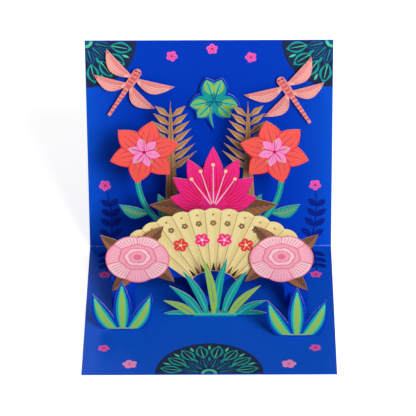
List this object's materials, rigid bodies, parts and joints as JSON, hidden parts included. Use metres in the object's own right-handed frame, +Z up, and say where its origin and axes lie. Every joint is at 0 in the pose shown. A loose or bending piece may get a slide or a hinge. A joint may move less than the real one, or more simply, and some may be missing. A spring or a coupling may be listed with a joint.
{
  "type": "pop-up greeting card",
  "caption": "Pop-up greeting card standing open at about a right angle, with a folded paper bridge, a fan, flowers, grasses and floating die-cut pieces in layers.",
  "frame": {"origin": "on the surface the card stands on, under the middle of the whole card's bounding box", "axes": "+Z up, X along the fold with +X to the viewer's right, -Y towards the viewer"},
  "size_m": [0.16, 0.1612, 0.1503],
  "materials": {
    "blue_stock": "printed card stock, cobalt blue, matt, pale cut edges",
    "cream_stock": "printed card stock, cream with brown sticks, matt",
    "pink_stock": "printed card stock, pale pink, matt",
    "magenta_stock": "printed card stock, hot pink with coral streaks, matt",
    "brown_stock": "printed card stock, brown leaves, matt",
    "coral_stock": "printed card stock, coral petals on teal stems, matt",
    "tan_stock": "printed card stock, tan, matt",
    "green_stock": "printed card stock, teal and lime, matt",
    "salmon_stock": "printed card stock, salmon pink, matt",
    "teal_stock": "printed card stock, teal with a blue border, matt",
    "foam": "white closed-cell foam tape"
  },
  "bodies": {
    "root": {"card": "blue_stock", "bridge": "blue_stock", "lotus_strut": "blue_stock", "lily_strut_left": "blue_stock", "lily_strut_right": "blue_stock", "fern_strut_left": "blue_stock", "fern_strut_right": "blue_stock", "grass_strut": "blue_stock", "tuft_strut_left": "blue_stock", "tuft_strut_right": "blue_stock", "fan": "cream_stock", "bloom_left": "pink_stock", "bloom_right": "pink_stock", "lotus": "magenta_stock", "lotus_leaves": "brown_stock", "bloom_leaves_left": "brown_stock", "bloom_leaves_right": "brown_stock", "lily_left": "coral_stock", "lily_right": "coral_stock", "fern_left": "tan_stock", "fern_right": "tan_stock", "grass": "green_stock", "tuft_left": "green_stock", "tuft_right": "green_stock", "dragonfly_left": "salmon_stock", "dragonfly_right": "salmon_stock", "clover": "teal_stock", "bloom_pad_left": "foam", "bloom_pad_right": "foam", "dragonfly_pad_left": "foam", "dragonfly_pad_right": "foam", "clover_pad": "foam"}
  },
  "joints": []
}
